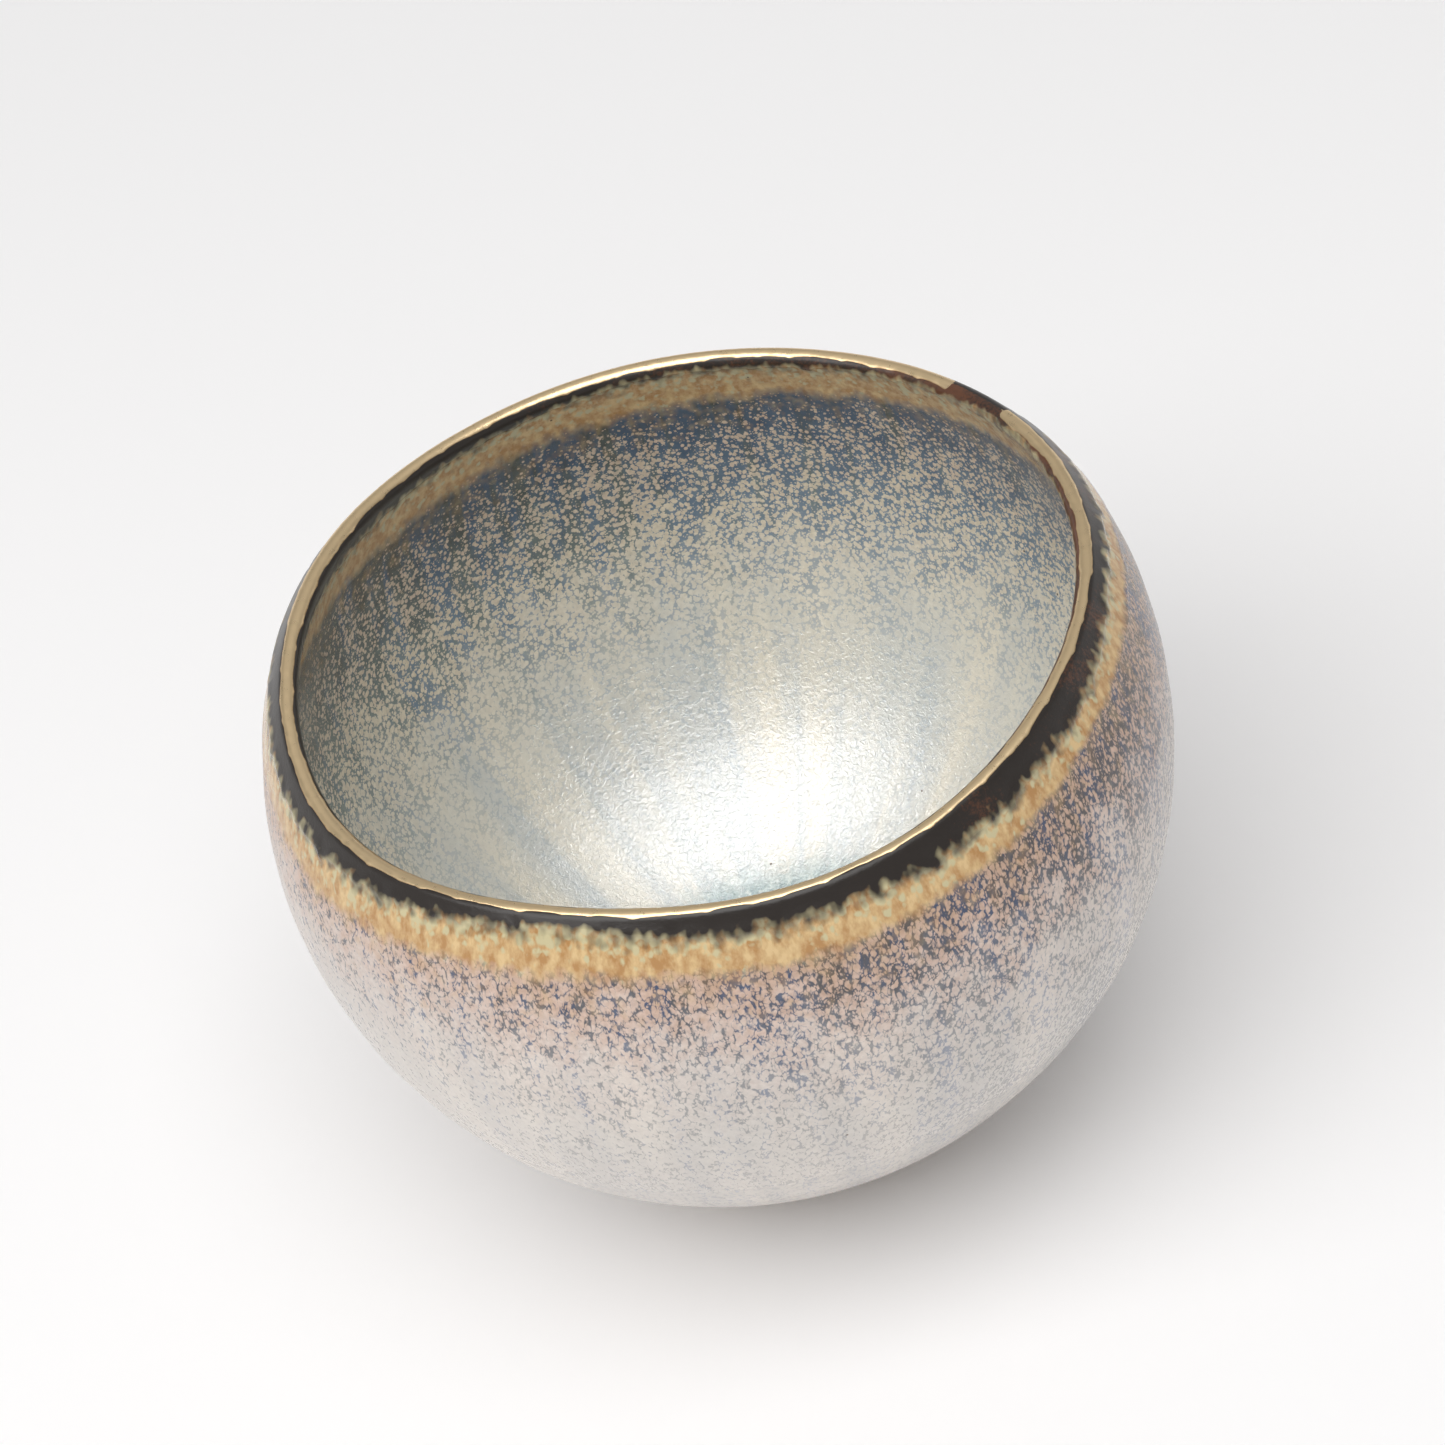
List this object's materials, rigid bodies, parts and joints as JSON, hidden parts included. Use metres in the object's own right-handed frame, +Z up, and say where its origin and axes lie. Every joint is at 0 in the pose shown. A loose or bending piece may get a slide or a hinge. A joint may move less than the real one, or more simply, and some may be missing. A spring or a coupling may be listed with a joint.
{
  "type": "tea bowl",
  "caption": "Round footed tea bowl for whisked green tea: spherical glazed wall, runny dark and ochre glaze at the rim, gilded lip, low foot ring.",
  "frame": {"origin": "centre of the foot ring's resting plane", "axes": "+Z up along the bowl's axis, out through the mouth; -Y is the side nearest the viewer in the main view"},
  "size_m": [0.116, 0.116, 0.0834],
  "materials": {
    "clay": "bare fired stoneware, matt",
    "outer_glaze": "satin glaze, pinkish grey with slate blue specks",
    "inner_glaze": "glossy glaze, cream specks over slate blue",
    "pool_glaze": "glassy pooled glaze",
    "dark_glaze": "glossy near-black brown glaze",
    "ochre_glaze": "glossy ochre glaze with celadon dots",
    "gilding": "fired gold lustre, polished"
  },
  "bodies": {
    "root": {"clay_wall": "clay", "foot_ring": "clay", "outer_glaze": "outer_glaze", "inner_glaze": "inner_glaze", "glaze_pool": "pool_glaze", "rim_glaze": "dark_glaze", "ochre_runs_outer": "ochre_glaze", "ochre_runs_inner": "ochre_glaze", "gold_lip": "gilding"}
  },
  "joints": []
}
